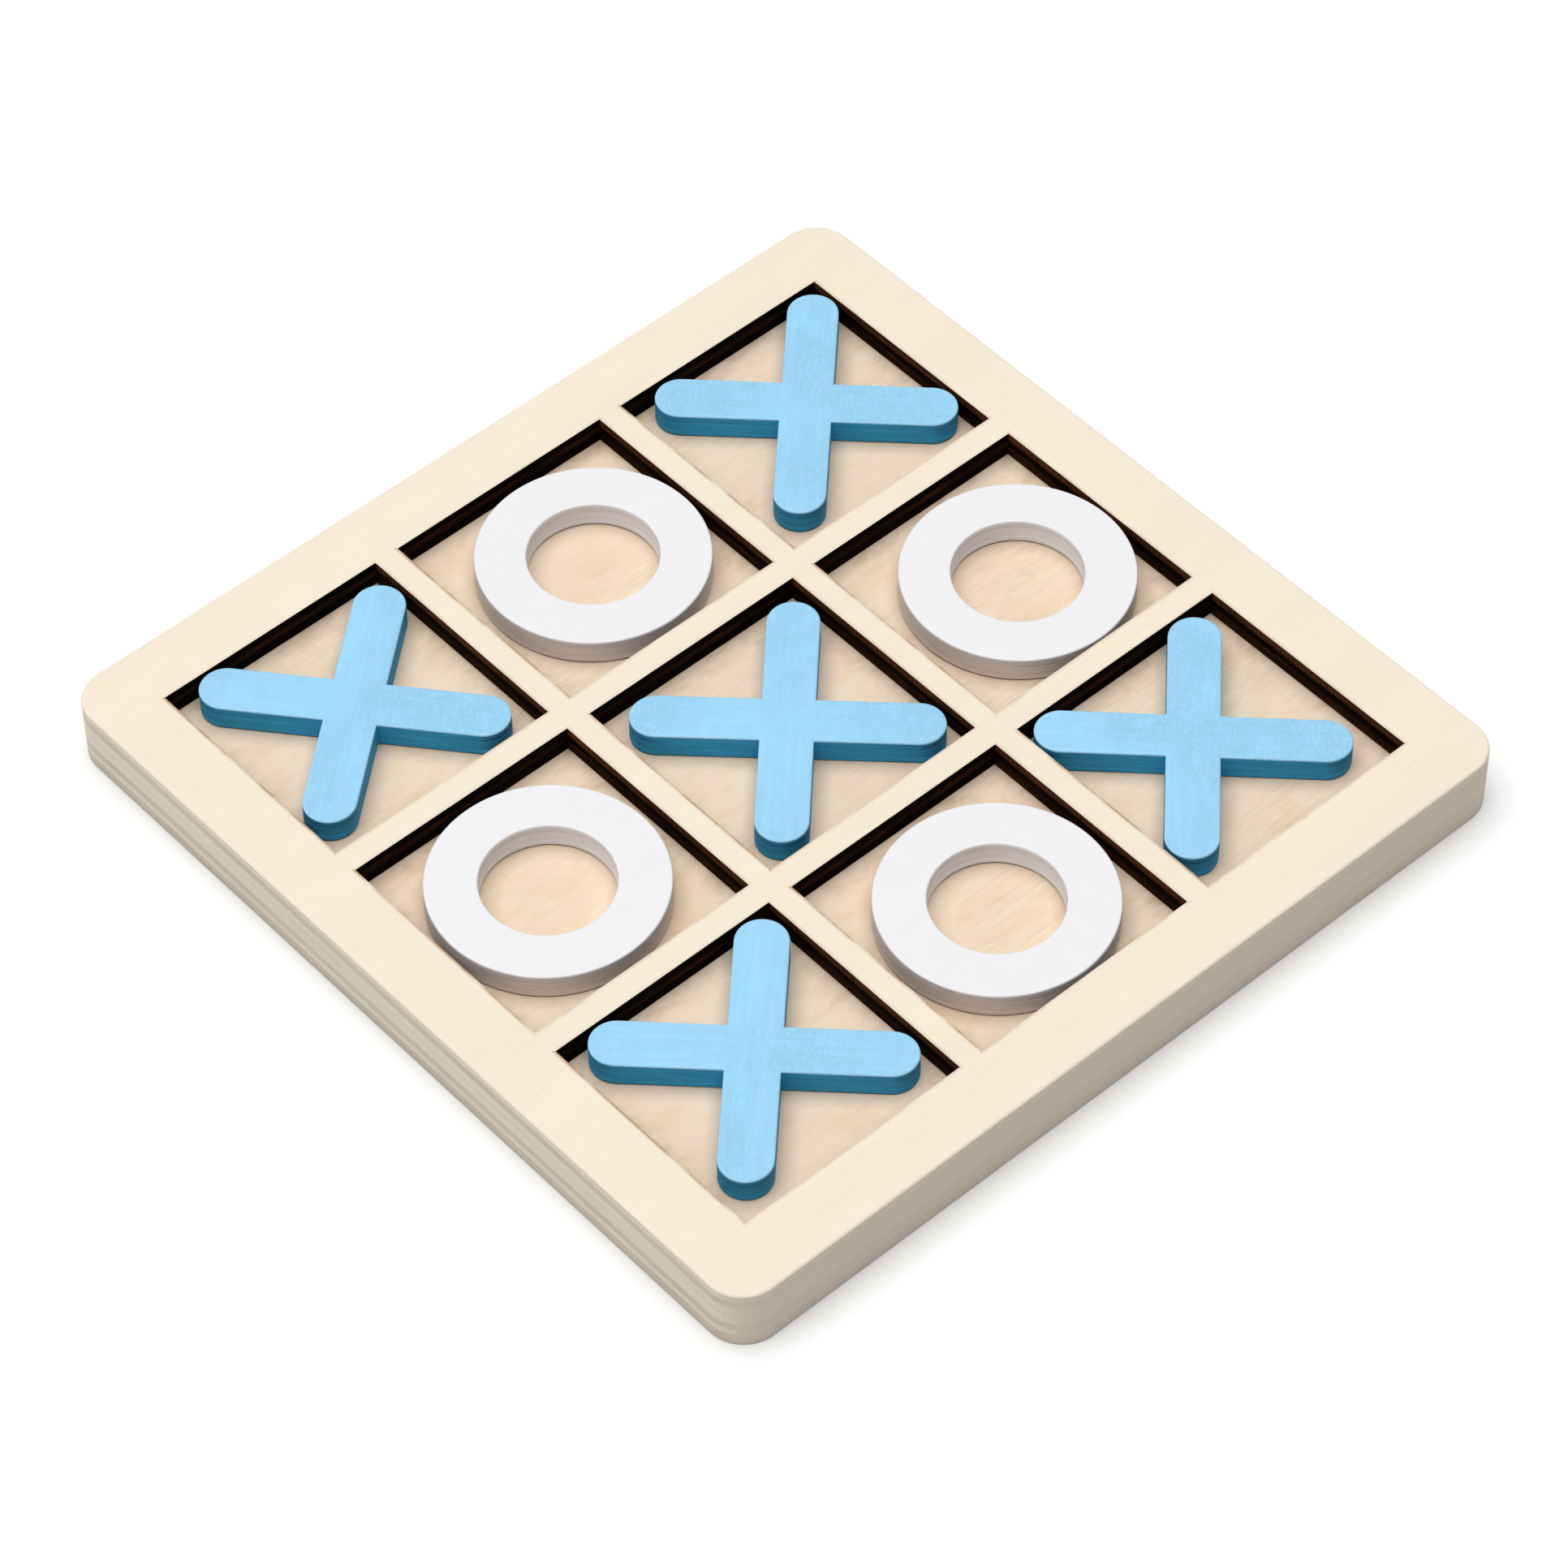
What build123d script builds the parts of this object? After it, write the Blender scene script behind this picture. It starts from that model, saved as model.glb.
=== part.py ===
"""Wooden tic tac toe set: a square board of two plywood sheets glued face to face, with nine
square pockets, five crosses and four rings lying loose in them.

Millimetres, +Z up. The origin is the centre of the board's underside. -Y is the front."""
import os

from build123d import *

# board
BOARD_SIDE = 145.0
BASE_THICKNESS = 6.6
GRID_THICKNESS = 4.4
CORNER_RADIUS = 6.0
EDGE_ROUND = 0.5

# pockets, three rows of three
POCKET_PITCH = 42.9
POCKET_SIDE = 38.7

# playing pieces, all cut from one sheet
PIECE_THICKNESS = 4.3
PIECE_EDGE_ROUND = 0.3
CROSS_ARM_WIDTH = 7.8
CROSS_TIP_TO_TIP = 45.2
RING_OUTER_DIAMETER = 34.8
RING_BORE_DIAMETER = 19.5

# where each piece lies: pocket column and row from the middle one, how far it has slid off
# the middle of its pocket, and how far it is turned
CROSSES = {
    "cross_front_left": ((-1, -1), (1.0, 1.8), 0.0),
    "cross_front_right": ((1, -1), (-1.6, 1.8), 0.0),
    "cross_center": ((0, 0), (0.8, -0.3), 0.6),
    "cross_back_left": ((-1, 1), (0.3, 0.7), -5.0),
    "cross_back_right": ((1, 1), (1.7, 1.5), 0.0),
}
RINGS = {
    "ring_front": ((0, -1), (0.4, -1.2)),
    "ring_left": ((-1, 0), (-0.6, 0.1)),
    "ring_right": ((1, 0), (1.6, -1.5)),
    "ring_back": ((0, 1), (1.1, -0.5)),
}

POCKET_FLOOR = BASE_THICKNESS


def save(part, name):
    """Label a finished piece and write it as its own STEP file."""
    part.label = name
    export_step(part, f"parts/{name}.step")


def resting_plane(pocket, slid, turned=0.0):
    """The plane on a pocket's floor that a piece is drawn on, slid and turned as it lies."""
    column, row = pocket
    x = column * POCKET_PITCH + slid[0]
    y = row * POCKET_PITCH + slid[1]
    return Plane.XY.offset(POCKET_FLOOR).move(Location((x, y, 0), (0, 0, turned)))


def make_base_board():
    """The thick lower sheet; its top face is the floor of every pocket."""
    with BuildPart() as base_board:
        with BuildSketch(Plane.XY):
            RectangleRounded(BOARD_SIDE, BOARD_SIDE, CORNER_RADIUS)
        extrude(amount=BASE_THICKNESS)
        fillet(base_board.faces().sort_by(Axis.Z)[0].edges(), EDGE_ROUND)
    return base_board.part


def make_frame_grid():
    """The thin upper sheet, cut through with nine square windows, glued on the base board."""
    with BuildPart() as frame_grid:
        with BuildSketch(Plane.XY.offset(BASE_THICKNESS)):
            RectangleRounded(BOARD_SIDE, BOARD_SIDE, CORNER_RADIUS)
        extrude(amount=GRID_THICKNESS)
        fillet(frame_grid.faces().sort_by(Axis.Z)[-1].edges(), EDGE_ROUND)
        with BuildSketch(Plane.XY.offset(BASE_THICKNESS)):
            with GridLocations(POCKET_PITCH, POCKET_PITCH, 3, 3):
                Rectangle(POCKET_SIDE, POCKET_SIDE)
        extrude(amount=GRID_THICKNESS, mode=Mode.SUBTRACT)
    return frame_grid.part


def make_cross(plane):
    """A cross: two round-ended arms over the pocket's diagonals, in one piece."""
    with BuildPart() as cross:
        with BuildSketch(plane):
            with PolarLocations(0, 2, start_angle=45, angular_range=180):
                SlotOverall(CROSS_TIP_TO_TIP, CROSS_ARM_WIDTH)
        extrude(amount=PIECE_THICKNESS)
        faces = cross.faces().sort_by(Axis.Z)
        fillet(faces[0].edges() + faces[-1].edges(), PIECE_EDGE_ROUND)
    return cross.part


def make_ring(plane):
    """A flat ring."""
    with BuildPart() as ring:
        with BuildSketch(plane):
            Circle(RING_OUTER_DIAMETER / 2)
            Circle(RING_BORE_DIAMETER / 2, mode=Mode.SUBTRACT)
        extrude(amount=PIECE_THICKNESS)
        faces = ring.faces().sort_by(Axis.Z)
        fillet(faces[0].edges() + faces[-1].edges(), PIECE_EDGE_ROUND)
    return ring.part


os.makedirs("parts", exist_ok=True)
save(make_base_board(), "base_board")
save(make_frame_grid(), "frame_grid")
for name, (pocket, slid, turned) in CROSSES.items():
    save(make_cross(resting_plane(pocket, slid, turned)), name)
for name, (pocket, slid) in RINGS.items():
    save(make_ring(resting_plane(pocket, slid)), name)
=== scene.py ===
"""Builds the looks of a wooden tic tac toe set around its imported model.

The file is laid out as an add-on and run as a script. Metres, +Z up, the origin at the centre of
the board's underside, -Y the front. The board is two laser-cut birch plywood sheets glued face
to face; each ply is a piece of its own here. The crosses and rings are painted plywood."""
import math

import bmesh
import bpy
from bpy.props import FloatProperty, FloatVectorProperty, PointerProperty
from mathutils import Matrix, Quaternion, Vector


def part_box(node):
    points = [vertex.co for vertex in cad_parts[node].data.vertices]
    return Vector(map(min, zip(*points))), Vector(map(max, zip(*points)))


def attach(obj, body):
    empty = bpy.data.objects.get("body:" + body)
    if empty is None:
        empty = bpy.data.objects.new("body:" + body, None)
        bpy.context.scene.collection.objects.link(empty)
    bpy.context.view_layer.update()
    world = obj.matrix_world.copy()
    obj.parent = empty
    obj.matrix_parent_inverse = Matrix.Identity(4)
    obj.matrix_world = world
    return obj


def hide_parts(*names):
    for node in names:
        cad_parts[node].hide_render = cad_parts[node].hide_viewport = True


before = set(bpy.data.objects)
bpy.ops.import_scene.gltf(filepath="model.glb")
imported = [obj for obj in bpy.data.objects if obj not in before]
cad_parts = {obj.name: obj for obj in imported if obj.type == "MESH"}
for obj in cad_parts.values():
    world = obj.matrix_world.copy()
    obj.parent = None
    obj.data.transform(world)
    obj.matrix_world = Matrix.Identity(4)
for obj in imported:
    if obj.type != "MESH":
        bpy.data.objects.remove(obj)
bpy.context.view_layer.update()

bl_info = {
    "name": "Tic Tac Toe Set",
    "version": (1, 0, 0),
    "blender": (4, 5, 0),
    "location": "View3D > Sidebar > Tic Tac Toe",
    "description": "Plywood board with pockets, painted crosses and painted rings",
    "category": "Object",
}

MM = 0.001

BASE_LOW, BASE_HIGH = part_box("base_board")
GRID_LOW, GRID_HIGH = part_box("frame_grid")
CROSSES = [name for name in sorted(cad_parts) if name.startswith("cross_")]
RINGS = [name for name in sorted(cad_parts) if name.startswith("ring_")]

# how far each cross is turned in its pocket from lying on the diagonals, in degrees
CROSS_TURNS = {"cross_center": 0.6, "cross_back_left": -5.0}

# rows and columns of pockets either side of the middle one
POCKET_STEPS = (-1, 0, 1)

# straight steps that make up each curve
CORNER_STEPS = 12
BOARD_EDGE_STEPS = 6
PIECE_EDGE_STEPS = 4
ARM_END_STEPS = 14
RING_STEPS = 144

# slots of a veneer's materials, and of a playing piece's
PLY_FACE, PLY_EDGE, PLY_GLUE, WALL_FACING_X, WALL_FACING_Y = range(5)
PIECE_FACE, PIECE_EDGE, UPPER_RIM, LOWER_RIM, BORE_WALL = range(5)

# upward share of its normal past which a face counts as level, and past which the rim's round-over
# still belongs to the face
LEVEL = 0.97
UPPER_ROUND = 0.6

# the same share on the slopes of a glue line's groove, and how far off it such a slope may be
GROOVE_SLOPE = math.sin(math.radians(45))
GROOVE_SPREAD = 0.15

# angle between two faces past which their edge is a corner, and past which it is shaded sharp
CORNER_ANGLE = math.radians(30)
SHARP_ANGLE = math.radians(35)

# heights this close are the same, points this close are one, and the square that holds the windows
# is taken this much larger
SAME_HEIGHT = 0.0001 * MM
SAME_POINT = 0.01 * MM
FIELD_MARGIN = 0.2 * MM

# share of half an arm's width that its end is rounded by, so that its two corners all but meet
ARM_END_SHARE = 0.9999

# half the width of a piece's ply line, as a share of the line's depth
PLY_LINE_SPREAD = 1.5

# how far apart in the paint's map the pieces lie, so that no two have the same strokes
PAINT_SHIFT = 0.1

# size along z of a pattern on the paint's map, which is flat and has no z
FLAT = 1.0

# how much further out a point lies along one axis than along the other where the first arm's
# strokes, or the tone of the board's left and right, have taken over in full
ARM_MELT = 2 * MM
EDGE_MELT = 4 * MM

# the floor's side, and how far it lies under the board, so that the two never share a plane
FLOOR_SIDE = 12.0
FLOOR_GAP = 0.02 * MM

OVERHEAD_PLACE = Vector((-0.2, 0.2, 3.0))
OVERHEAD_WIDTH = 4.0
LEFT_PLACE = Vector((-3.0, 1.0, 1.2))
LEFT_WIDTH = 2.0

CAMERA_PLACE = Vector((-362.9, -412.2, 644.1)) * MM
CAMERA_AIM = Vector((-7.7, -9.0, 11.0)) * MM
CAMERA_ROLL = math.radians(-0.62)
# in millimetres, as Blender takes them
CAMERA_LENS = 135.7
CAMERA_SENSOR = 36.0


# ---------------------------------------------------------------- colours and settings


def linear(hex_code):
    """An sRGB hex colour as linear red, green and blue."""
    channels = [int(hex_code[i : i + 2], 16) / 255 for i in (1, 3, 5)]
    return [c / 12.92 if c <= 0.04045 else ((c + 0.055) / 1.055) ** 2.4 for c in channels]


def length(name, description, default):
    """A length property in metres."""
    return FloatProperty(name=name, description=description, default=default, min=0.0,
                         precision=5, subtype="DISTANCE", unit="LENGTH")


def colour(name, description, hex_code):
    """A colour property."""
    return FloatVectorProperty(name=name, description=description, default=linear(hex_code),
                               min=0.0, max=1.0, size=3, subtype="COLOR")


def rgba(values):
    """A colour property's value with full alpha, as a node socket takes it."""
    return (*values, 1.0)


class BoardSettings(bpy.types.PropertyGroup):
    """Sizes and colours of the two plywood sheets."""

    pocket_pitch: length("Pocket pitch", "Distance between pocket centres", 42.9 * MM)
    pocket_side: length("Pocket side", "Side of each square window", 38.7 * MM)
    corner_radius: length("Corner radius", "Radius of the board's corners in plan", 6.0 * MM)
    edge_round: length("Edge round-over", "Radius sanded on the outer edges", 0.5 * MM)
    grid_face_ply: length("Grid face ply", "Thickness of the upper sheet's face veneer", 1.45 * MM)
    base_face_ply: length("Base face ply", "Thickness of the lower sheet's face veneer", 2.1 * MM)
    crossband: length("Crossband", "Thickness of the veneers laid across the grain", 1.15 * MM)
    centre_ply: length("Centre ply", "Thickness of the lower sheet's middle veneer", 1.2 * MM)
    seam: length("Seam", "Depth of the groove sanding leaves at a glue line", 0.03 * MM)
    face: colour("Sanded face", "Sanded face of the upper sheet", "#E5DAC7")
    floor: colour("Pocket floor", "Bare face of the lower sheet in the pockets", "#E0CDB5")
    edge: colour("Ply edge", "Sanded edge of a veneer", "#D6CBB9")
    glue: colour("Glue line", "Glue showing between veneers", "#C8BBA6")
    scorch: colour("Scorch", "Wood browned by the laser beside a cut", "#9A6A34")
    char: colour("Char", "Long grain burnt black in the cut", "#040202")
    char_brown: colour("Brown char", "End grain browned in the cut", "#55311B")


class PieceSettings(bpy.types.PropertyGroup):
    """Sizes and colours of the crosses and rings."""

    arm_width: length("Arm width", "Width of a cross's arm", 7.8 * MM)
    tip_to_tip: length("Tip to tip", "Length of a cross's arm from end to end", 45.2 * MM)
    ring_bore: length("Ring bore", "Diameter of the hole in a ring", 19.5 * MM)
    edge_round: length("Edge round-over", "Radius rubbed on the pieces' edges", 0.3 * MM)
    face_ply: length("Face ply", "Thickness of a piece's outer veneers", 1.3 * MM)
    seam: length("Seam", "Depth of the line that shows at a glue line", 0.04 * MM)
    blue: colour("Blue paint", "Paint on the faces of a cross", "#96CDED")
    blue_edge: colour("Blue edge", "The same paint soaked into the cut edge", "#33A2D4")
    white: colour("White paint", "Paint on the faces of a ring", "#DFDEE0")
    white_edge: colour("White edge", "The same paint thin and handled on the outer edge", "#EADDD5")
    white_bore: colour("White bore", "The same paint thin on the wall of the hole", "#E3E1E4")
    # the two foot colours are painted contact shadow along each piece's lower rim
    blue_contact_shadow: colour("Blue foot", "Blue paint darkened on the lower rim as painted contact shadow", "#1F6487")
    white_contact_shadow: colour("White foot", "White paint darkened on the lower rim as painted contact shadow", "#7E6853")


class StageSettings(bpy.types.PropertyGroup):
    """Floor, light and camera."""

    paper: colour("Paper", "Pale paper that the set lies on", "#F7F7F7")
    room: FloatProperty(name="Room light", description="Strength of the even light all round",
                        default=0.2, min=0.0)
    overhead: FloatProperty(name="Overhead light", description="Power of the softbox above",
                            default=138.0, min=0.0, unit="POWER")
    side: FloatProperty(name="Side light", description="Power of the softbox at the left",
                        default=16.8, min=0.0, unit="POWER")


# ---------------------------------------------------------------- shader helpers


def add(tree, kind, inputs=None, **settings):
    """Add a node with its settings, then set or link its inputs."""
    node = tree.nodes.new(kind)
    for name, value in settings.items():
        setattr(node, name, value)
    for key, value in (inputs or {}).items():
        socket = node.inputs[key]
        if isinstance(value, bpy.types.NodeSocket):
            tree.links.new(value, socket)
        else:
            socket.default_value = value
    return node


def new_material(name, roughness, specular=0.5, ior=1.5):
    """A material holding one Principled shader; returns the material, its tree and the shader."""
    material = bpy.data.materials.new(name)
    material.use_nodes = True
    shader = material.node_tree.nodes["Principled BSDF"]
    shader.inputs["Roughness"].default_value = roughness
    shader.inputs["Specular IOR Level"].default_value = specular
    shader.inputs["IOR"].default_value = ior
    return material, material.node_tree, shader


def object_position(tree):
    """Position in the object's own space, in metres."""
    return add(tree, "ShaderNodeTexCoord").outputs["Object"]


def paint_position(tree):
    """Position on a playing piece in metres, from the piece's own map, where pieces lie apart."""
    return add(tree, "ShaderNodeUVMap", uv_map="paint").outputs["UV"]


def first_arm(tree, position):
    """1 on the arm of a cross that runs along the paint map's x, 0 on the other, melting between.
    Wrapping takes away how far apart the pieces lie in the map."""
    half = PAINT_SHIFT / 2
    wrapped = add(tree, "ShaderNodeVectorMath", {0: position, 1: (half,) * 3, 2: (-half,) * 3},
                  operation="WRAP")
    size = add(tree, "ShaderNodeVectorMath", {0: wrapped.outputs[0]}, operation="ABSOLUTE")
    axes = add(tree, "ShaderNodeSeparateXYZ", {0: size.outputs[0]})
    lead = add(tree, "ShaderNodeMath", {0: axes.outputs["X"], 1: axes.outputs["Y"]}, operation="SUBTRACT")
    share = add(tree, "ShaderNodeMapRange", {"Value": lead.outputs[0], "From Min": -ARM_MELT,
                                             "From Max": ARM_MELT})
    return share.outputs["Result"]


def speckle(tree, position, sizes, low, high, detail=2.0, swirl=0.0):
    """Noise whose grains have the given real sizes along x, y and z, spread from 0 to 1
    between the two noise levels. A swirl bends it as wood grain bends."""
    scale = tuple(1.0 / size for size in sizes)
    mapped = add(tree, "ShaderNodeMapping", {"Vector": position, "Scale": scale})
    noise = add(tree, "ShaderNodeTexNoise",
                {"Vector": mapped.outputs["Vector"], "Scale": 1.0, "Detail": detail, "Roughness": 0.55,
                 "Distortion": swirl})
    spread = add(tree, "ShaderNodeMapRange",
                 {"Value": noise.outputs["Fac"], "From Min": low, "From Max": high})
    return spread.outputs["Result"]


def blend(tree, factor, first, second):
    """The first colour where factor is 0, the second where it is 1."""
    mix = add(tree, "ShaderNodeMix", {0: factor, 6: first, 7: second}, data_type="RGBA")
    return mix.outputs[2]


def times(tree, first, second):
    """Product of two values."""
    return add(tree, "ShaderNodeMath", {0: first, 1: second}, operation="MULTIPLY").outputs[0]


def darker(values, share):
    """A colour scaled down to a share of itself."""
    return rgba([v * share for v in values])


def tinted(values, shares):
    """A colour with its red, green and blue each scaled by its own share."""
    return rgba([v * share for v, share in zip(values, shares)])


def relief(tree, shader, height, depth):
    """Bump of a real depth in metres, from a height of 0 to 1."""
    bump = add(tree, "ShaderNodeBump", {"Height": height, "Distance": depth, "Strength": 1.0})
    tree.links.new(bump.outputs["Normal"], shader.inputs["Normal"])


def beyond_window(tree, position, board):
    """Distance in metres outside the nearest window's edge, negative inside the window; 1 where that
    edge cuts across the face veneer's grain or 0 where it runs along it; and 1 where that edge is
    the window's left or front one or 0 where it is the right or back one."""
    pitch = (board.pocket_pitch,) * 3
    minus_pitch = (-board.pocket_pitch,) * 3
    half_pitch = (board.pocket_pitch / 2, board.pocket_pitch / 2, 0.0)
    moved = add(tree, "ShaderNodeVectorMath", {0: position, 1: half_pitch}, operation="ADD")
    snapped = add(tree, "ShaderNodeVectorMath", {0: moved.outputs[0], 1: pitch}, operation="SNAP")
    above = add(tree, "ShaderNodeVectorMath", {0: snapped.outputs[0], 1: minus_pitch}, operation="MAXIMUM")
    centre = add(tree, "ShaderNodeVectorMath", {0: above.outputs[0], 1: pitch}, operation="MINIMUM")
    off = add(tree, "ShaderNodeVectorMath", {0: position, 1: centre.outputs[0]}, operation="SUBTRACT")
    size = add(tree, "ShaderNodeVectorMath", {0: off.outputs[0]}, operation="ABSOLUTE")
    axes = add(tree, "ShaderNodeSeparateXYZ", {0: size.outputs[0]})
    reach = add(tree, "ShaderNodeMath", {0: axes.outputs["X"], 1: axes.outputs["Y"]}, operation="MAXIMUM")
    edge = add(tree, "ShaderNodeMath", {0: reach.outputs[0], 1: board.pocket_side / 2}, operation="SUBTRACT")
    across = add(tree, "ShaderNodeMath", {0: axes.outputs["X"], 1: axes.outputs["Y"]},
                 operation="GREATER_THAN")
    slant = add(tree, "ShaderNodeVectorMath", {0: off.outputs[0], 1: (1.0, 1.0, 0.0)},
                operation="DOT_PRODUCT")
    front_left = add(tree, "ShaderNodeMath", {0: slant.outputs["Value"], 1: 0.0}, operation="LESS_THAN")
    return edge.outputs[0], across.outputs[0], front_left.outputs[0]


def sideways(tree, position):
    """1 on the board's left and right edges, 0 on its front and back, melting round the corners."""
    size = add(tree, "ShaderNodeVectorMath", {0: position}, operation="ABSOLUTE")
    axes = add(tree, "ShaderNodeSeparateXYZ", {0: size.outputs[0]})
    lead = add(tree, "ShaderNodeMath", {0: axes.outputs["X"], 1: axes.outputs["Y"]}, operation="SUBTRACT")
    share = add(tree, "ShaderNodeMapRange", {"Value": lead.outputs[0], "From Min": 0.0,
                                             "From Max": EDGE_MELT})
    return share.outputs["Result"]


# ---------------------------------------------------------------- materials


def sanded_birch(board):
    """Sanded birch veneer, the board's top. Close, even, cream wood: the eye gets faint long
    fibres, a soft change of tone, small pores, and a brown hair line where the laser cut it. The
    line is stronger across the grain, and stronger still at a window's front and left edges."""
    material, tree, shader = new_material("sanded_birch", roughness=0.62, specular=0.35)
    position = object_position(tree)
    tone = speckle(tree, position, (45 * MM, 9 * MM, 9 * MM), 0.35, 0.65)
    wood = blend(tree, times(tree, tone, 0.55), rgba(board.face), darker(board.face, 0.94))
    blush = speckle(tree, position, (6 * MM, 3 * MM, 3 * MM), 0.40, 0.66)
    wood = blend(tree, times(tree, blush, 0.4), wood, tinted(board.face, (1.0, 0.95, 0.92)))
    fibre = speckle(tree, position, (7 * MM, 0.35 * MM, 0.35 * MM), 0.40, 0.75, 3.0)
    wood = blend(tree, times(tree, fibre, 0.27), wood, darker(board.face, 0.84))
    pore = speckle(tree, position, (1.6 * MM, 0.22 * MM, 0.3 * MM), 0.66, 0.74)
    wood = blend(tree, times(tree, pore, 0.16), wood, darker(board.edge, 0.66))
    outside, across, front_left = beyond_window(tree, position, board)
    halo = add(tree, "ShaderNodeMapRange", {"Value": outside, "From Min": 0.1 * MM,
                                            "From Max": 0.55 * MM, "To Min": 1.0, "To Max": 0.0})
    patch = speckle(tree, position, (6 * MM, 6 * MM, 6 * MM), 0.26, 0.58, 4.0)
    strength = add(tree, "ShaderNodeMapRange", {"Value": across, "To Min": 0.32, "To Max": 0.85})
    # the brown line is made stronger along each window's front and left edges
    front_left_gain = add(tree, "ShaderNodeMapRange", {"Value": front_left, "To Min": 0.4, "To Max": 1.0})
    line = times(tree, halo.outputs["Result"], times(tree, patch, front_left_gain.outputs["Result"]))
    burnt = times(tree, line, strength.outputs["Result"])
    wood = blend(tree, burnt, wood, rgba(board.scorch))
    tree.links.new(wood, shader.inputs["Base Color"])
    relief(tree, shader, fibre, 0.01 * MM)
    return material


def birch_figure(tree, position, board):
    """Colour of bare veneer that was never sanded: tan and pink patches, wavy streaks and open
    pores. Returns the colour and the streaks' height."""
    patch = speckle(tree, position, (22 * MM, 9 * MM, 9 * MM), 0.40, 0.60, swirl=0.6)
    wood = blend(tree, patch, rgba(board.floor), tinted(board.floor, (1.0, 0.95, 0.97)))
    amber = speckle(tree, position, (7 * MM, 3.5 * MM, 3.5 * MM), 0.46, 0.68, swirl=1.0)
    wood = blend(tree, times(tree, amber, 0.65), wood, tinted(board.floor, (0.96, 0.88, 0.78)))
    streak = speckle(tree, position, (8 * MM, 0.6 * MM, 0.6 * MM), 0.42, 0.72, 4.0, swirl=1.2)
    figured = speckle(tree, position, (34 * MM, 26 * MM, 26 * MM), 0.40, 0.60)
    wood = blend(tree, times(tree, streak, times(tree, figured, 0.5)), wood, darker(board.floor, 0.72))
    pore = speckle(tree, position, (1.8 * MM, 0.25 * MM, 0.3 * MM), 0.64, 0.74)
    return blend(tree, times(tree, pore, 0.25), wood, darker(board.floor, 0.60)), streak


def bare_birch(board):
    """Bare birch veneer, the board's underside: warmer and blotchier than the sanded top."""
    material, tree, shader = new_material("bare_birch", roughness=0.7, specular=0.3)
    wood, streak = birch_figure(tree, object_position(tree), board)
    tree.links.new(wood, shader.inputs["Base Color"])
    relief(tree, shader, streak, 0.015 * MM)
    return material


def pocket_floor_birch(board):
    """Bare birch veneer at the bottom of the pockets. It turns browner in cloudy patches over the
    last five millimetres to each window's walls, and browner still right at the walls, more so where a wall
    cuts across the grain."""
    material, tree, shader = new_material("pocket_floor_birch", roughness=0.7, specular=0.3)
    position = object_position(tree)
    wood, streak = birch_figure(tree, position, board)
    outside, across, _ = beyond_window(tree, position, board)
    # browner patches, rising towards the walls over the last five millimetres
    wall_band = add(tree, "ShaderNodeMapRange", {"Value": outside, "From Min": -5 * MM, "From Max": -0.5 * MM})
    cloud = speckle(tree, position, (5 * MM, 3 * MM, 3 * MM), 0.46, 0.70, 4.0, swirl=0.8)
    wall_patches = times(tree, wall_band.outputs["Result"], cloud)
    wood = blend(tree, times(tree, wall_patches, 0.32), wood, rgba(board.scorch))
    # browner still in the last half millimetre at each wall
    near_wall = add(tree, "ShaderNodeMapRange", {"Value": outside, "From Min": -0.5 * MM, "From Max": 0.0})
    wall_foot_share = times(tree, near_wall.outputs["Result"], near_wall.outputs["Result"])
    strength = add(tree, "ShaderNodeMapRange", {"Value": across, "To Min": 0.15, "To Max": 0.4})
    wood = blend(tree, times(tree, wall_foot_share, strength.outputs["Result"]), wood, rgba(board.scorch))
    tree.links.new(wood, shader.inputs["Base Color"])
    relief(tree, shader, streak, 0.015 * MM)
    return material


def ply_edge(board, name, along_x, side_tone, front_tone):
    """Sanded plywood edge. One solid pattern of fibres runs through the veneer, so its ends show as
    fine upright ticks and its long sides as streaks. A veneer looks lighter or darker by which way
    it is cut, so it has one tone at the left and right and one at the front and back, and the two
    melt into each other round the corners."""
    material, tree, shader = new_material(name, roughness=0.68, specular=0.3)
    position = object_position(tree)
    side = sideways(tree, position)
    wood = blend(tree, side, darker(board.edge, front_tone), darker(board.edge, side_tone))
    long_size, across, tall = 9 * MM, 0.3 * MM, 0.8 * MM
    sizes = (long_size, across, tall) if along_x else (across, long_size, tall)
    tone = speckle(tree, position, (26 * MM, 26 * MM, 1.4 * MM), 0.38, 0.66, swirl=0.3)
    shown = add(tree, "ShaderNodeMapRange", {"Value": side, "To Min": 0.1, "To Max": 0.4})
    wood = blend(tree, times(tree, tone, shown.outputs["Result"]), wood,
                 darker(board.edge, side_tone * 0.84))
    fibre = speckle(tree, position, sizes, 0.44, 0.74, 3.0)
    wood = blend(tree, times(tree, fibre, shown.outputs["Result"]), wood,
                 darker(board.edge, side_tone * 0.66))
    tree.links.new(wood, shader.inputs["Base Color"])
    relief(tree, shader, fibre, 0.012 * MM)
    return material


def glue_line(board):
    """Cured glue between veneers, cut through by sanding: a thin dull line, darker than the wood at
    the left and right edges and lost in it at the front and back."""
    material, tree, shader = new_material("glue_line", roughness=0.6)
    position = object_position(tree)
    patch = speckle(tree, position, (3 * MM, 3 * MM, 3 * MM), 0.35, 0.65)
    line = blend(tree, patch, rgba(board.glue), darker(board.glue, 0.8))
    line = blend(tree, sideways(tree, position), rgba(board.edge), line)
    tree.links.new(line, shader.inputs["Base Color"])
    return material


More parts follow.
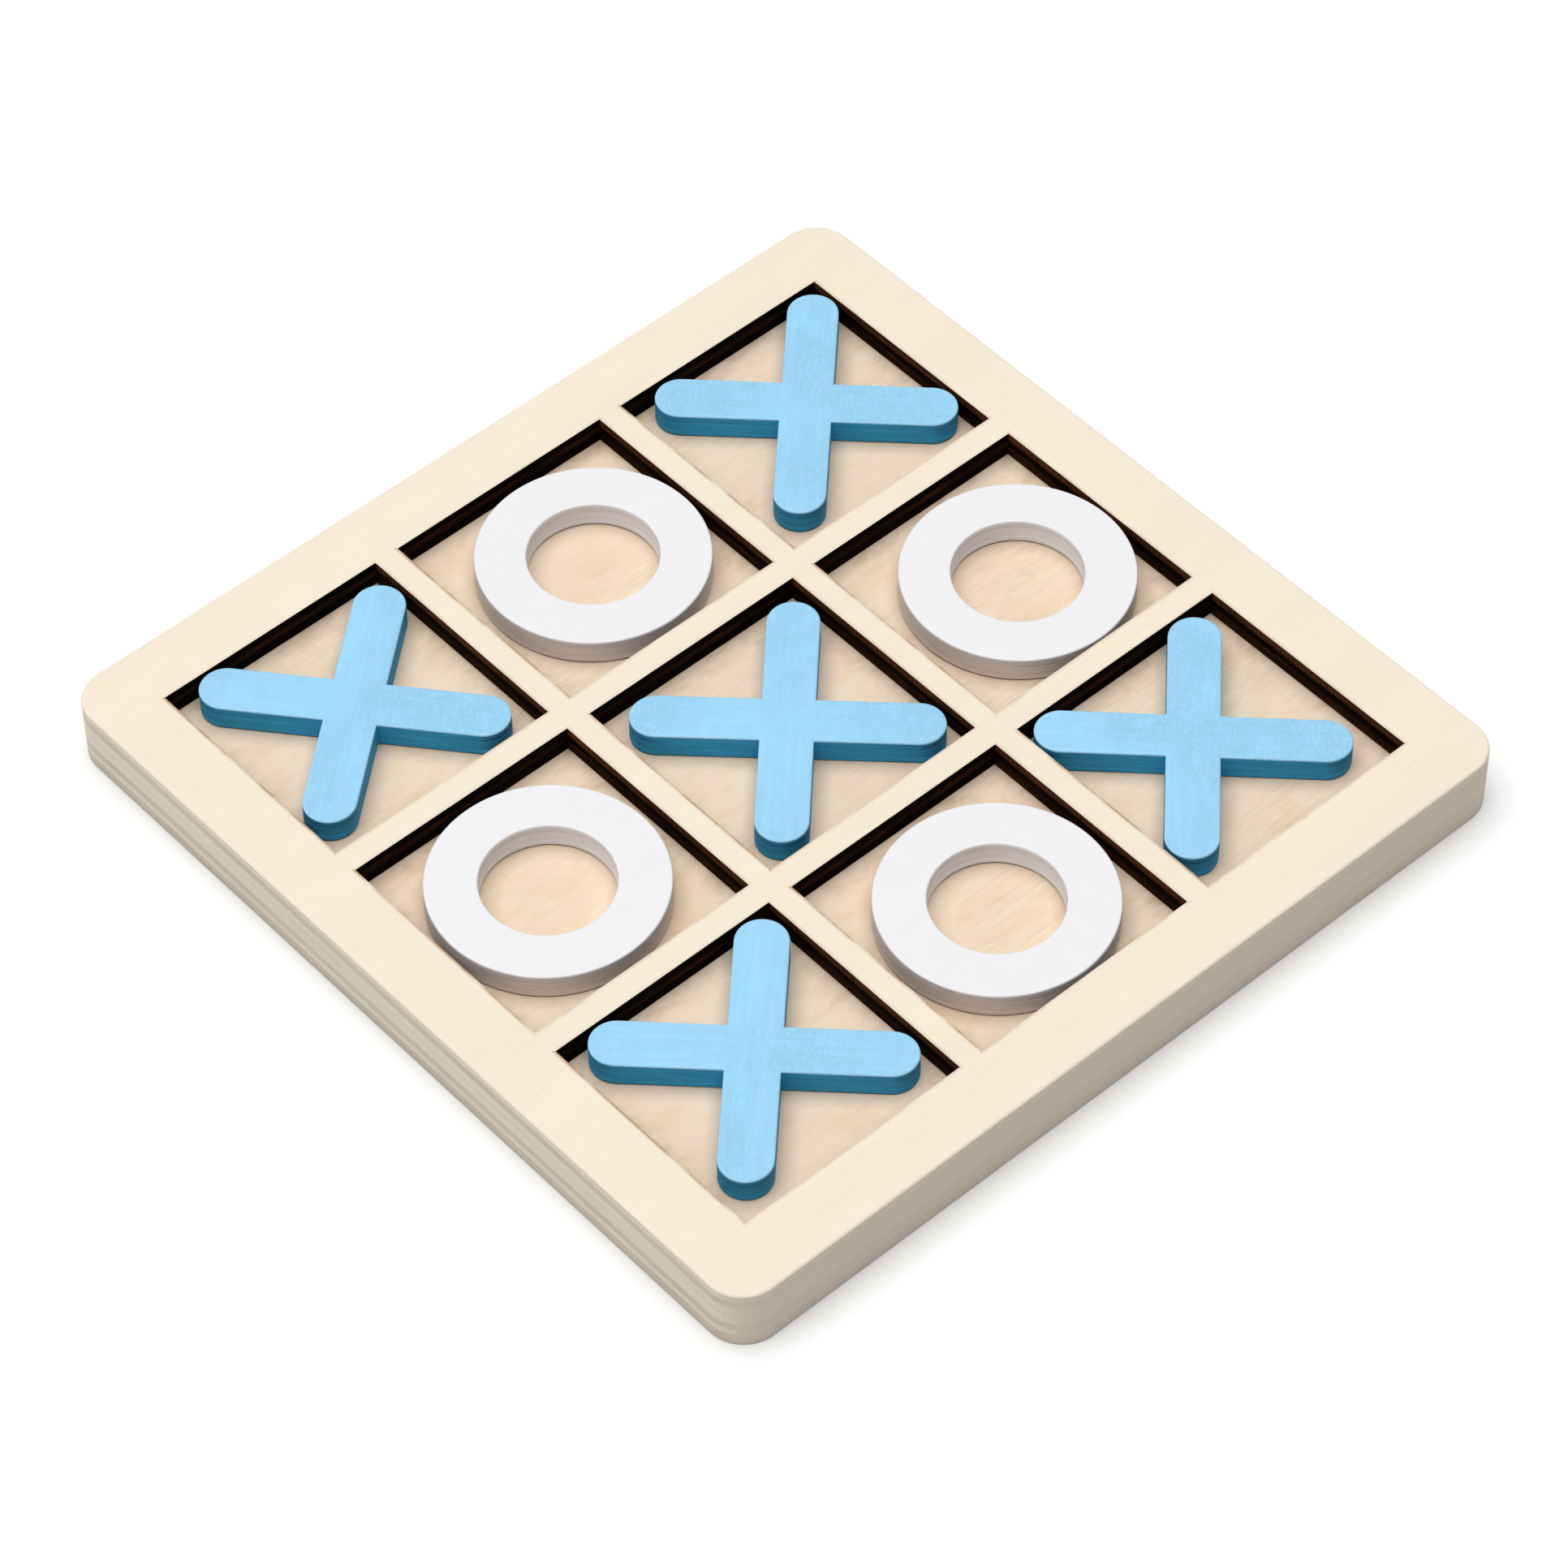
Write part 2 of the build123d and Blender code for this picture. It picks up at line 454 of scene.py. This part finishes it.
def laser_char(board, name, brownness, evenness):
    """Wood charred by the laser in the cut: matt, with level bands and with upright ribs that the
    pulsing beam leaves. Long grain burns black; end grain lets the beam through and stays brown."""
    material, tree, shader = new_material(name, roughness=0.9, specular=0.03)
    position = object_position(tree)
    rib = speckle(tree, position, (0.35 * MM, 0.35 * MM, 5 * MM), 0.35, 0.65, 2.0)
    band = speckle(tree, position, (14 * MM, 14 * MM, 0.45 * MM), 0.34, 0.62, 2.0)
    patch = speckle(tree, position, (5 * MM, 5 * MM, 1.2 * MM), 0.30, 0.66)
    lit = add(tree, "ShaderNodeMath", {0: times(tree, band, patch), 1: evenness}, operation="ADD")
    ribbed = add(tree, "ShaderNodeMath", {0: times(tree, rib, 0.4), 1: 0.6}, operation="ADD")
    brown = times(tree, times(tree, lit.outputs[0], ribbed.outputs[0]), brownness)
    burnt = blend(tree, brown, rgba(board.char), rgba(board.char_brown))
    tree.links.new(burnt, shader.inputs["Base Color"])
    relief(tree, shader, rib, 0.04 * MM)
    return material


def brushed_paint(name, face, contrast, rough, fuzz):
    """Thin matt acrylic on a plywood face. Brush strokes run along each arm. Where the veneer is
    coarse its fuzzy grain stands up through them as short hatching of the height given, and tiny
    pits stay open."""
    material, tree, shader = new_material(name, roughness=rough, specular=0.4, ior=1.47)
    position = paint_position(tree)
    along = speckle(tree, position, (16 * MM, 0.8 * MM, FLAT), 0.36, 0.68, 3.0)
    across = speckle(tree, position, (0.8 * MM, 16 * MM, FLAT), 0.36, 0.68, 3.0)
    mixed = add(tree, "ShaderNodeMix", {0: first_arm(tree, position), 2: across, 3: along})
    stroke = mixed.outputs[0]
    coat = blend(tree, times(tree, stroke, contrast), rgba(face), darker(face, 0.84))
    cloud = speckle(tree, position, (6 * MM, 3 * MM, FLAT), 0.38, 0.64, 3.0, swirl=0.5)
    coat = blend(tree, times(tree, cloud, contrast), coat, darker(face, 0.88))
    coarse = speckle(tree, position, (30 * MM, 30 * MM, FLAT), 0.38, 0.56)
    hatch = speckle(tree, position, (0.9 * MM, 0.4 * MM, FLAT), 0.40, 0.68, 4.0, swirl=1.5)
    hatch = times(tree, hatch, coarse)
    coat = blend(tree, times(tree, hatch, contrast), coat, darker(face, 0.74))
    pit = speckle(tree, position, (0.6 * MM, 0.4 * MM, FLAT), 0.70, 0.77)
    coat = blend(tree, times(tree, pit, contrast), coat, darker(face, 0.45))
    tree.links.new(coat, shader.inputs["Base Color"])
    relief(tree, shader, hatch, fuzz)
    return material


def soaked_paint(name, edge, contrast):
    """The same paint on the cut edge. Open grain drinks it, so it is deeper in tone, and the
    veneers show through as level lines."""
    material, tree, shader = new_material(name, roughness=0.7, specular=0.25, ior=1.47)
    position = object_position(tree)
    line = speckle(tree, position, (9 * MM, 9 * MM, 0.3 * MM), 0.36, 0.64, 3.0)
    coat = blend(tree, times(tree, line, contrast), rgba(edge), darker(edge, 0.45))
    grain = speckle(tree, position, (0.5 * MM, 0.5 * MM, 0.5 * MM), 0.40, 0.70)
    coat = blend(tree, times(tree, grain, contrast * 0.5), coat, darker(edge, 0.45))
    tree.links.new(coat, shader.inputs["Base Color"])
    relief(tree, shader, line, 0.03 * MM)
    return material


def rim_highlight_paint(name, face):
    """Paint on the upper rim, paler than the face: a painted highlight along the rounded rim."""
    material, tree, shader = new_material(name, roughness=0.5, specular=0.45, ior=1.47)
    position = object_position(tree)
    highlight_speckle = speckle(tree, position, (1.2 * MM, 1.2 * MM, 0.6 * MM), 0.40, 0.70)
    pale = rgba([v + (1.0 - v) * 0.06 for v in face])
    coat = blend(tree, highlight_speckle, pale, rgba(face))
    tree.links.new(coat, shader.inputs["Base Color"])
    return material


def pale_paper(stage):
    """Seamless pale paper, matt, with a trace of felt."""
    material, tree, shader = new_material("pale_paper", roughness=0.95, specular=0.1)
    position = object_position(tree)
    felt = speckle(tree, position, (2 * MM, 2 * MM, 2 * MM), 0.3, 0.7)
    sheet = blend(tree, felt, rgba(stage.paper), darker(stage.paper, 0.99))
    tree.links.new(sheet, shader.inputs["Base Color"])
    return material


# ---------------------------------------------------------------- mesh helpers


def flat_square(side, height):
    """A bmesh holding one level square face."""
    bm = bmesh.new()
    bmesh.ops.create_grid(bm, x_segments=1, y_segments=1, size=side / 2)
    bmesh.ops.translate(bm, verts=bm.verts, vec=(0, 0, height))
    return bm


def cut_lines(bm, places):
    """Cut the face across at the same places in x and in y."""
    for normal in (Vector((1, 0, 0)), Vector((0, 1, 0))):
        for place in places:
            bmesh.ops.bisect_plane(bm, geom=bm.verts[:] + bm.edges[:] + bm.faces[:],
                                   plane_co=normal * place, plane_no=normal)


def thicken(bm, thickness):
    """Raise the flat faces into a closed slab."""
    raised = bmesh.ops.extrude_face_region(bm, geom=bm.faces[:], use_keep_orig=True)
    verts = [item for item in raised["geom"] if isinstance(item, bmesh.types.BMVert)]
    bmesh.ops.translate(bm, verts=verts, vec=(0, 0, thickness))
    bmesh.ops.recalc_face_normals(bm, faces=bm.faces[:])


def rim_edges(bm, height):
    """The corner edges at one height."""
    level = [edge for edge in bm.edges if all(abs(v.co.z - height) < SAME_HEIGHT for v in edge.verts)]
    return [edge for edge in level if edge.calc_face_angle(0.0) > CORNER_ANGLE]


def round_edges(bm, edges, radius, segments):
    """Round the edges, or chamfer them where there is one segment."""
    bmesh.ops.bevel(bm, geom=edges, offset=radius, offset_type="OFFSET", segments=segments,
                    profile=0.5, affect="EDGES", clamp_overlap=False, material=-1)


def round_corners(bm, corners, radius, segments):
    """Round corners of a flat face in plan."""
    bmesh.ops.bevel(bm, geom=corners, offset=radius, offset_type="OFFSET", segments=segments,
                    profile=0.5, affect="VERTICES", clamp_overlap=False, material=-1)


def score(bm, height, half_width, depth):
    """Press a shallow V line round the sides at one height."""
    for level in (height - half_width, height + half_width, height):
        bmesh.ops.bisect_plane(bm, geom=bm.verts[:] + bm.edges[:] + bm.faces[:],
                               plane_co=(0, 0, level), plane_no=(0, 0, 1))
    bm.normal_update()
    moved = [(v, v.normal.copy()) for v in bm.verts if abs(v.co.z - height) < SAME_HEIGHT]
    for vert, normal in moved:
        vert.co -= normal * depth


def finish_piece(bm, name, materials, body, node):
    """Turn the bmesh into a named piece that rides on its body and stands for its CAD node."""
    mesh = bpy.data.meshes.new(name)
    for face in bm.faces:
        face.smooth = True
    bm.to_mesh(mesh)
    bm.free()
    mesh.set_sharp_from_angle(angle=SHARP_ANGLE)
    for material in materials:
        mesh.materials.append(material)
    piece = bpy.data.objects.new(name, mesh)
    bpy.context.scene.collection.objects.link(piece)
    piece.modifiers.new("Weighted normals", "WEIGHTED_NORMAL").keep_sharp = True
    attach(piece, body)
    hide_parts(node)
    return piece


# ---------------------------------------------------------------- board


def in_window_field(point, board):
    """Whether a point lies in the square that holds all the windows, or just outside it."""
    reach = board.pocket_pitch + board.pocket_side / 2 + FIELD_MARGIN
    return abs(point.x) < reach and abs(point.y) < reach


def board_outline(board, height):
    """The board's rounded square as one flat face."""
    bm = flat_square(GRID_HIGH.x - GRID_LOW.x, height)
    round_corners(bm, bm.verts[:], board.corner_radius, CORNER_STEPS)
    return bm


def open_windows(bm, board):
    """Cut the nine windows out of the flat face."""
    half = board.pocket_side / 2
    cut_lines(bm, [step * board.pocket_pitch + side * half for step in POCKET_STEPS for side in (-1, 1)])
    centres = [(x * board.pocket_pitch, y * board.pocket_pitch) for x in POCKET_STEPS for y in POCKET_STEPS]
    inside = []
    for face in bm.faces:
        middle = face.calc_center_median()
        if any(abs(middle.x - x) < half and abs(middle.y - y) < half for x, y in centres):
            inside.append(face)
    bmesh.ops.delete(bm, geom=inside, context="FACES")


def paint_ply(bm, board, low, high):
    """Give each face its slot. The windows' upper rims keep the face's scorched wood, and the upper
    part of the board's round-over keeps the face."""
    for face in bm.faces:
        middle = face.calc_center_median()
        tilt = face.normal.z
        top_rim = middle.z > GRID_HIGH.z - board.seam
        at_seam = min(middle.z - low, high - middle.z) < board.seam
        if abs(tilt) > LEVEL:
            face.material_index = PLY_FACE
        elif in_window_field(middle, board):
            wall = WALL_FACING_X if abs(face.normal.x) > abs(face.normal.y) else WALL_FACING_Y
            face.material_index = PLY_FACE if top_rim else wall
        elif at_seam and abs(abs(tilt) - GROOVE_SLOPE) < GROOVE_SPREAD:
            face.material_index = PLY_GLUE
        elif tilt < UPPER_ROUND:
            face.material_index = PLY_EDGE


def make_ply(board, name, low, high, node, face, edge, walls=(), top_round=0.0, bottom_round=0.0):
    """One veneer of the board, from low to high. An outer edge with no round-over gets one side of
    a glue line's groove. A veneer with burnt walls is cut through with the windows."""
    bm = board_outline(board, low)
    if walls:
        open_windows(bm, board)
    thicken(bm, high - low)
    for height, radius in ((high, top_round), (low, bottom_round)):
        outline = [rim for rim in rim_edges(bm, height) if not in_window_field(rim.verts[0].co, board)]
        round_edges(bm, outline, radius or board.seam, BOARD_EDGE_STEPS if radius else 1)
        windows = [rim for rim in rim_edges(bm, height) if in_window_field(rim.verts[0].co, board)]
        round_edges(bm, windows, board.seam, 1)
    paint_ply(bm, board, low, high)
    slots = [bpy.data.materials[slot] for slot in (face, edge, "glue_line", *walls)]
    return finish_piece(bm, name, slots, "board", node)


class TICTACTOE_OT_wood(bpy.types.Operator):
    """Make the plywood's materials"""

    bl_idname = "tic_tac_toe.wood"
    bl_label = "Plywood Materials"

    def execute(self, context):
        board = context.scene.tic_tac_toe_board
        sanded_birch(board)
        bare_birch(board)
        pocket_floor_birch(board)
        glue_line(board)
        ply_edge(board, "birch_edge_lengthwise", along_x=True, side_tone=1.0, front_tone=0.86)
        ply_edge(board, "birch_edge_crossband", along_x=False, side_tone=0.79, front_tone=0.84)
        # the lowest veneer's edge is painted darker, most at the left and right, as painted shade along the
        # board's foot
        ply_edge(board, "birch_edge_back_painted_shade", along_x=True, side_tone=0.74, front_tone=0.84)
        laser_char(board, "charred_end_grain", brownness=1.0, evenness=0.6)
        laser_char(board, "charred_back_end_grain", brownness=0.42, evenness=0.25)
        laser_char(board, "charred_core_end_grain", brownness=0.6, evenness=0.2)
        laser_char(board, "charred_long_grain", brownness=0.08, evenness=0.0)
        return {"FINISHED"}


class TICTACTOE_OT_frame_grid(bpy.types.Operator):
    """Build the upper sheet's three veneers, cut through with nine windows"""

    bl_idname = "tic_tac_toe.frame_grid"
    bl_label = "Frame Grid"

    def execute(self, context):
        board = context.scene.tic_tac_toe_board
        low, high = GRID_LOW.z, GRID_HIGH.z
        core_high = high - board.grid_face_ply
        core_low = core_high - board.crossband
        make_ply(board, "grid_face_ply", core_high, high, "frame_grid", "sanded_birch",
                 "birch_edge_lengthwise", walls=("charred_end_grain", "charred_long_grain"),
                 top_round=board.edge_round)
        make_ply(board, "grid_crossband", core_low, core_high, "frame_grid", "bare_birch",
                 "birch_edge_crossband", walls=("charred_long_grain", "charred_core_end_grain"))
        make_ply(board, "grid_back_ply", low, core_low, "frame_grid", "bare_birch",
                 "birch_edge_lengthwise", walls=("charred_back_end_grain", "charred_long_grain"))
        return {"FINISHED"}


class TICTACTOE_OT_base_board(bpy.types.Operator):
    """Build the lower sheet's five veneers"""

    bl_idname = "tic_tac_toe.base_board"
    bl_label = "Base Board"

    def execute(self, context):
        board = context.scene.tic_tac_toe_board
        high = BASE_HIGH.z
        veneers = (
            ("base_face_ply", board.base_face_ply, "pocket_floor_birch", "birch_edge_lengthwise"),
            ("base_upper_crossband", board.crossband, "bare_birch", "birch_edge_crossband"),
            ("base_centre_ply", board.centre_ply, "bare_birch", "birch_edge_lengthwise"),
            ("base_lower_crossband", board.crossband, "bare_birch", "birch_edge_crossband"),
        )
        for name, thickness, face, edge in veneers:
            make_ply(board, name, high - thickness, high, "base_board", face, edge)
            high -= thickness
        # the back veneer's edge carries painted shade along the board's foot
        make_ply(board, "base_back_ply", BASE_LOW.z, high, "base_board", "bare_birch",
                 "birch_edge_back_painted_shade", bottom_round=board.edge_round)
        return {"FINISHED"}


# ---------------------------------------------------------------- pieces


def piece_place(node):
    """Centre on the pocket floor, and thickness, of a CAD piece."""
    low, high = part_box(node)
    middle = (low + high) / 2
    return Vector((middle.x, middle.y, low.z)), high.z - low.z


def dress_piece(bm, pieces, thickness):
    """Round the rims, press the ply lines, and give each face its slot."""
    for height in (0.0, thickness):
        round_edges(bm, rim_edges(bm, height), pieces.edge_round, PIECE_EDGE_STEPS)
    for height in (pieces.face_ply, thickness - pieces.face_ply):
        score(bm, height, PLY_LINE_SPREAD * pieces.seam, pieces.seam)
    bm.normal_update()
    for face in bm.faces:
        height = face.calc_center_median().z
        if abs(face.normal.z) > LEVEL:
            face.material_index = PIECE_FACE
        elif height > thickness - pieces.edge_round:
            # a paler paint on the upper rim stands as a painted highlight
            face.material_index = UPPER_RIM
        elif height < pieces.edge_round:
            # a darker paint on the lower rim stands as painted contact shadow where the piece meets the
            # floor
            face.material_index = LOWER_RIM
        else:
            face.material_index = PIECE_EDGE


def map_paint(bm, number):
    """Lay the paint map flat on the piece, apart from the other pieces' maps."""
    paint = bm.loops.layers.uv.new("paint")
    for face in bm.faces:
        for loop in face.loops:
            loop[paint].uv = (loop.vert.co.x + number * PAINT_SHIFT, loop.vert.co.y)


def make_cross(name, pieces, materials, number):
    """One painted cross, lying on its pocket's floor. A square loses its corners, which leaves two
    arms, and the arms' ends are rounded in full."""
    centre, thickness = piece_place(name)
    half_width = pieces.arm_width / 2
    bm = flat_square(pieces.tip_to_tip, 0.0)
    cut_lines(bm, (-half_width, half_width))
    corners = [f for f in bm.faces
               if min(abs(f.calc_center_median().x), abs(f.calc_center_median().y)) > half_width]
    bmesh.ops.delete(bm, geom=corners, context="FACES")
    tips = [v for v in bm.verts if max(abs(v.co.x), abs(v.co.y)) > half_width + SAME_POINT]
    round_corners(bm, tips, half_width * ARM_END_SHARE, ARM_END_STEPS)
    bmesh.ops.remove_doubles(bm, verts=bm.verts[:], dist=SAME_POINT)
    thicken(bm, thickness)
    dress_piece(bm, pieces, thickness)
    map_paint(bm, number)
    turn = math.radians(45 + CROSS_TURNS.get(name, 0.0))
    bmesh.ops.rotate(bm, verts=bm.verts[:], cent=(0, 0, 0), matrix=Matrix.Rotation(turn, 3, "Z"))
    bmesh.ops.translate(bm, verts=bm.verts[:], vec=centre)
    finish_piece(bm, f"painted_{name}", materials, name, name)


def make_ring(name, pieces, materials, number):
    """One painted ring, lying on its pocket's floor: its cross-section, stood up and spun round."""
    centre, thickness = piece_place(name)
    low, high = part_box(name)
    outer, bore = (high.x - low.x) / 2, pieces.ring_bore / 2
    bm = flat_square(1.0, 0.0)
    bmesh.ops.scale(bm, verts=bm.verts[:], vec=(outer - bore, thickness, 1))
    bmesh.ops.rotate(bm, verts=bm.verts[:], cent=(0, 0, 0), matrix=Matrix.Rotation(math.pi / 2, 3, "X"))
    bmesh.ops.translate(bm, verts=bm.verts[:], vec=((outer + bore) / 2, 0, thickness / 2))
    bmesh.ops.delete(bm, geom=bm.faces[:], context="FACES_ONLY")
    bmesh.ops.spin(bm, geom=bm.verts[:] + bm.edges[:], cent=(0, 0, 0), axis=(0, 0, 1), dvec=(0, 0, 0),
                   angle=2 * math.pi, steps=RING_STEPS, use_merge=True, use_normal_flip=False,
                   use_duplicate=False)
    bmesh.ops.remove_doubles(bm, verts=bm.verts[:], dist=SAME_POINT)
    bmesh.ops.recalc_face_normals(bm, faces=bm.faces[:])
    dress_piece(bm, pieces, thickness)
    for face in bm.faces:
        if face.material_index == PIECE_EDGE and face.normal.dot(face.calc_center_median()) < 0:
            face.material_index = BORE_WALL
    map_paint(bm, number)
    bmesh.ops.translate(bm, verts=bm.verts[:], vec=centre)
    finish_piece(bm, f"painted_{name}", materials, name, name)


class TICTACTOE_OT_crosses(bpy.types.Operator):
    """Build the blue painted crosses"""

    bl_idname = "tic_tac_toe.crosses"
    bl_label = "Crosses"

    def execute(self, context):
        pieces = context.scene.tic_tac_toe_pieces
        materials = [
            brushed_paint("blue_acrylic_brushed", pieces.blue, contrast=0.55, rough=0.55, fuzz=0.03 * MM),
            soaked_paint("blue_acrylic_soaked_edge", pieces.blue_edge, contrast=0.42),
            # the rim paint is a painted highlight along the cross's upper rim
            rim_highlight_paint("blue_acrylic_rim_painted_highlight", pieces.blue),
            # the lower rim's dark paint is painted contact shadow where the cross meets the pocket floor
            soaked_paint("blue_acrylic_lower_rim_painted_shadow", pieces.blue_contact_shadow, contrast=0.4),
        ]
        for number, name in enumerate(CROSSES):
            make_cross(name, pieces, materials, number)
        return {"FINISHED"}


class TICTACTOE_OT_rings(bpy.types.Operator):
    """Build the white painted rings"""

    bl_idname = "tic_tac_toe.rings"
    bl_label = "Rings"

    def execute(self, context):
        pieces = context.scene.tic_tac_toe_pieces
        materials = [
            brushed_paint("white_acrylic_brushed", pieces.white, contrast=0.06, rough=0.45, fuzz=0.003 * MM),
            soaked_paint("white_acrylic_thin_edge", pieces.white_edge, contrast=0.16),
            # the rim paint is a painted highlight along the ring's upper rim
            rim_highlight_paint("white_acrylic_rim_painted_highlight", pieces.white),
            # the lower rim's dark paint is painted contact shadow where the ring meets the pocket floor
            soaked_paint("white_acrylic_lower_rim_painted_shadow", pieces.white_contact_shadow, contrast=0.4),
            soaked_paint("white_acrylic_thin_bore", pieces.white_bore, contrast=0.16),
        ]
        for number, name in enumerate(RINGS):
            make_ring(name, pieces, materials, number)
        return {"FINISHED"}


# ---------------------------------------------------------------- stage


def lay_floor(stage):
    """A wide level sheet of paper, just under the board."""
    bm = flat_square(FLOOR_SIDE, BASE_LOW.z - FLOOR_GAP)
    mesh = bpy.data.meshes.new("floor")
    bm.to_mesh(mesh)
    bm.free()
    mesh.materials.append(pale_paper(stage))
    floor = bpy.data.objects.new("floor", mesh)
    bpy.context.scene.collection.objects.link(floor)


def softbox(name, place, aim, width, power):
    """A square soft light pointed at a place."""
    light = bpy.data.lights.new(name, "AREA")
    light.shape = "SQUARE"
    light.size = width
    light.energy = power
    lamp = bpy.data.objects.new(name, light)
    lamp.location = place
    lamp.rotation_euler = (aim - place).to_track_quat("-Z", "Y").to_euler()
    bpy.context.scene.collection.objects.link(lamp)


def light_room(stage):
    """Even light all round, a wide softbox overhead and a smaller one at the left."""
    world = bpy.data.worlds.new("room")
    world.use_nodes = True
    background = world.node_tree.nodes["Background"]
    background.inputs["Color"].default_value = (1.0, 1.0, 1.0, 1.0)
    background.inputs["Strength"].default_value = stage.room
    bpy.context.scene.world = world
    middle = Vector((0, 0, GRID_HIGH.z))
    softbox("overhead", OVERHEAD_PLACE, middle, OVERHEAD_WIDTH, stage.overhead)
    softbox("left", LEFT_PLACE, middle, LEFT_WIDTH, stage.side)


def set_camera():
    """A long lens, looking down on the board from its front left corner."""
    camera = bpy.data.cameras.new("camera")
    camera.lens = CAMERA_LENS
    camera.sensor_width = CAMERA_SENSOR
    view = bpy.data.objects.new("camera", camera)
    view.location = CAMERA_PLACE
    look = (CAMERA_AIM - CAMERA_PLACE).to_track_quat("-Z", "Y")
    view.rotation_euler = (look @ Quaternion((0, 0, 1), CAMERA_ROLL)).to_euler()
    scene = bpy.context.scene
    scene.collection.objects.link(view)
    scene.camera = view
    scene.view_settings.view_transform = "Standard"


class TICTACTOE_OT_stage(bpy.types.Operator):
    """Lay the pale floor, hang the soft lights and set up the camera"""

    bl_idname = "tic_tac_toe.stage"
    bl_label = "Stage"

    def execute(self, context):
        stage = context.scene.tic_tac_toe_stage
        lay_floor(stage)
        light_room(stage)
        set_camera()
        return {"FINISHED"}


# ---------------------------------------------------------------- panel and registration


class TICTACTOE_PT_set(bpy.types.Panel):
    """Lists the set's settings and the steps that build it"""

    bl_idname = "TICTACTOE_PT_set"
    bl_label = "Tic Tac Toe Set"
    bl_space_type = "VIEW_3D"
    bl_region_type = "UI"
    bl_category = "Tic Tac Toe"

    def draw(self, context):
        scene = context.scene
        for group in (scene.tic_tac_toe_board, scene.tic_tac_toe_pieces, scene.tic_tac_toe_stage):
            box = self.layout.box()
            for name in group.__annotations__:
                box.prop(group, name)
        for step in STEPS:
            self.layout.operator(step.bl_idname)


SETTINGS = (BoardSettings, PieceSettings, StageSettings)
STEPS = (
    TICTACTOE_OT_wood,
    TICTACTOE_OT_frame_grid,
    TICTACTOE_OT_base_board,
    TICTACTOE_OT_crosses,
    TICTACTOE_OT_rings,
    TICTACTOE_OT_stage,
)


def register():
    """Add the settings, the steps and the panel to Blender."""
    for cls in (*SETTINGS, *STEPS, TICTACTOE_PT_set):
        bpy.utils.register_class(cls)
    bpy.types.Scene.tic_tac_toe_board = PointerProperty(type=BoardSettings)
    bpy.types.Scene.tic_tac_toe_pieces = PointerProperty(type=PieceSettings)
    bpy.types.Scene.tic_tac_toe_stage = PointerProperty(type=StageSettings)


def unregister():
    """Take away what register added."""
    del bpy.types.Scene.tic_tac_toe_stage
    del bpy.types.Scene.tic_tac_toe_pieces
    del bpy.types.Scene.tic_tac_toe_board
    for cls in (TICTACTOE_PT_set, *reversed(STEPS), *reversed(SETTINGS)):
        bpy.utils.unregister_class(cls)


def main():
    """Build the set and its stage."""
    register()
    bpy.ops.tic_tac_toe.wood()
    bpy.ops.tic_tac_toe.frame_grid()
    bpy.ops.tic_tac_toe.base_board()
    bpy.ops.tic_tac_toe.crosses()
    bpy.ops.tic_tac_toe.rings()
    bpy.ops.tic_tac_toe.stage()


if __name__ == "__main__":
    main()
